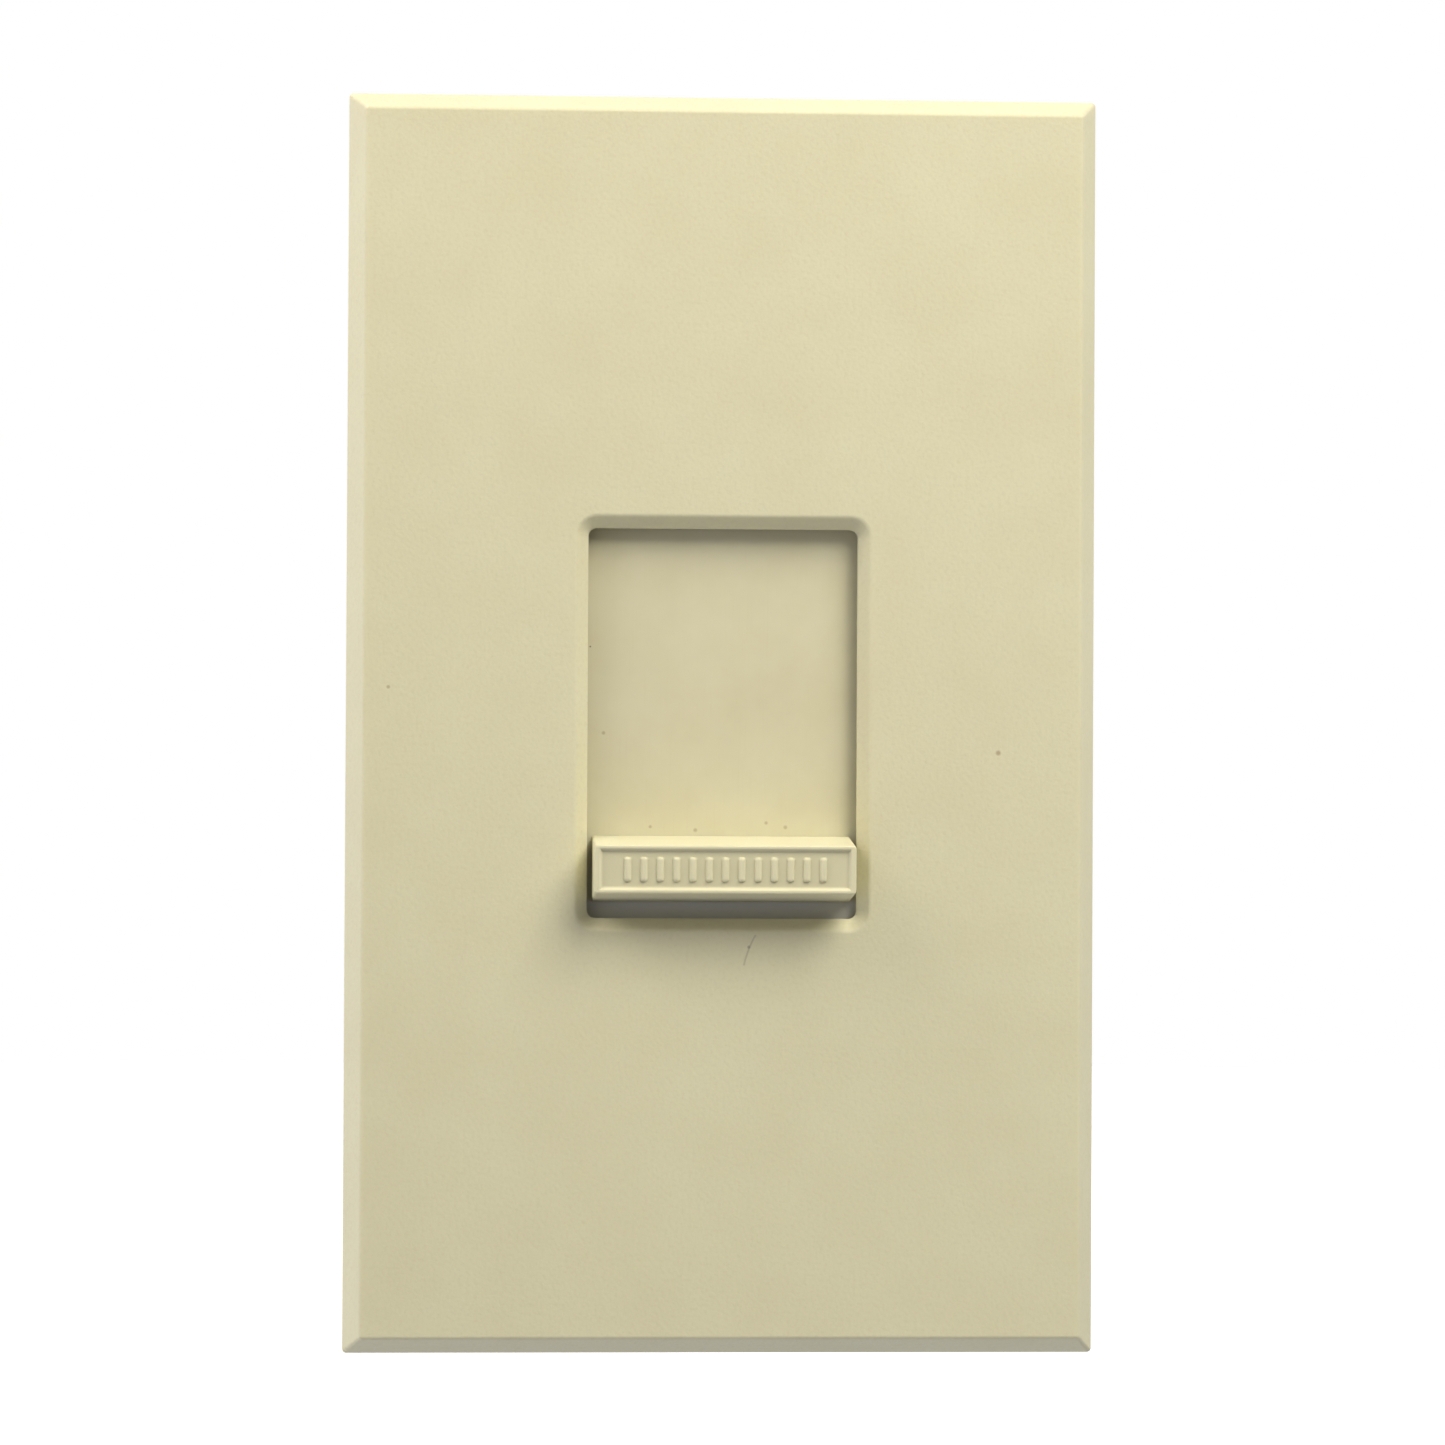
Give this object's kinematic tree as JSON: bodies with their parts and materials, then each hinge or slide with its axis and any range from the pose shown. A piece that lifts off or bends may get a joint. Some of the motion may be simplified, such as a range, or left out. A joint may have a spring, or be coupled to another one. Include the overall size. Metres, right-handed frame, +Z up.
{
  "type": "slide dimmer switch",
  "caption": "Wall-box slide dimmer: bevelled clip-on faceplate, finger bar riding on a sliding shutter in a square window, metal yoke and a housing of electronics behind.",
  "frame": {"origin": "midway between the two box screw holes, on the back face of the yoke, which is the wall plane", "axes": "+X right as seen from the room, +Y into the wall, +Z up; the faceplate's front faces -Y"},
  "size_m": [0.0698, 0.0437, 0.117],
  "materials": {
    "ivory_plastic": "fine matte moulded",
    "ivory_shutter": "smooth satin moulded",
    "aluminium": "extruded, clear anodised",
    "black_nylon": "moulded, semi matte",
    "white_nylon": "moulded, satin",
    "fishpaper": "pressed fibre sheet",
    "grey_thermoplastic": "moulded, fine spark texture",
    "zinc_steel": "zinc plated",
    "tinned_copper": "bright tin",
    "epoxy_glass_board": "green solder mask",
    "phenolic_strip": "pressed paper laminate",
    "carbon_ink": "screened carbon",
    "brass": "rolled",
    "epoxy_black": "moulded epoxy",
    "mica_pad": "satin",
    "ferrite": "coated iron powder",
    "enamelled_copper": "enamelled wire",
    "film_yellow": "potted box",
    "blue_polymer": "moulded",
    "resistor_tan": "lacquered",
    "diac_glass": "sealed glass",
    "black_rubber": "moulded",
    "rotor_white": "moulded"
  },
  "bodies": {
    "root": {"faceplate": "ivory_plastic", "mounting_yoke": "aluminium", "slide_guide_frame": "black_nylon", "insulating_sheet": "fishpaper", "rear_housing": "grey_thermoplastic", "housing_screws": "zinc_steel", "potentiometer_frame": "black_nylon", "resistor_strip": "phenolic_strip", "carbon_track": "carbon_ink", "collector_rail": "brass", "switch_rails": "brass", "circuit_board": "epoxy_glass_board", "triac_tab": "tinned_copper", "triac_body": "epoxy_black", "triac_leads": "tinned_copper", "triac_insulator": "mica_pad", "triac_rivet": "zinc_steel", "choke_core": "ferrite", "choke_winding": "enamelled_copper", "trimmer_base": "blue_polymer", "lead_grommets": "black_rubber", "lead_terminals": "tinned_copper", "filter_capacitor": "film_yellow", "timing_capacitors": "blue_polymer", "resistors": "resistor_tan", "diac": "diac_glass", "component_legs": "tinned_copper"},
    "slider": {"slide_shutter": "ivory_shutter", "slider_knob": "ivory_plastic", "slide_carriage": "white_nylon", "wiper_contact": "brass", "switch_bridge": "brass"},
    "trimmer": {"trimmer_rotor": "rotor_white"}
  },
  "joints": [
    {"name": "slide", "type": "slide", "parent": "root", "child": "slider", "axis": [0, 0, 1], "range_m": [0, 0.027]},
    {"name": "trim", "type": "hinge", "parent": "root", "child": "trimmer", "pos_m": [0.0128, 0.0136, -0.0102], "axis": [0, 1, 0], "range_deg": [-135, 135]}
  ]
}
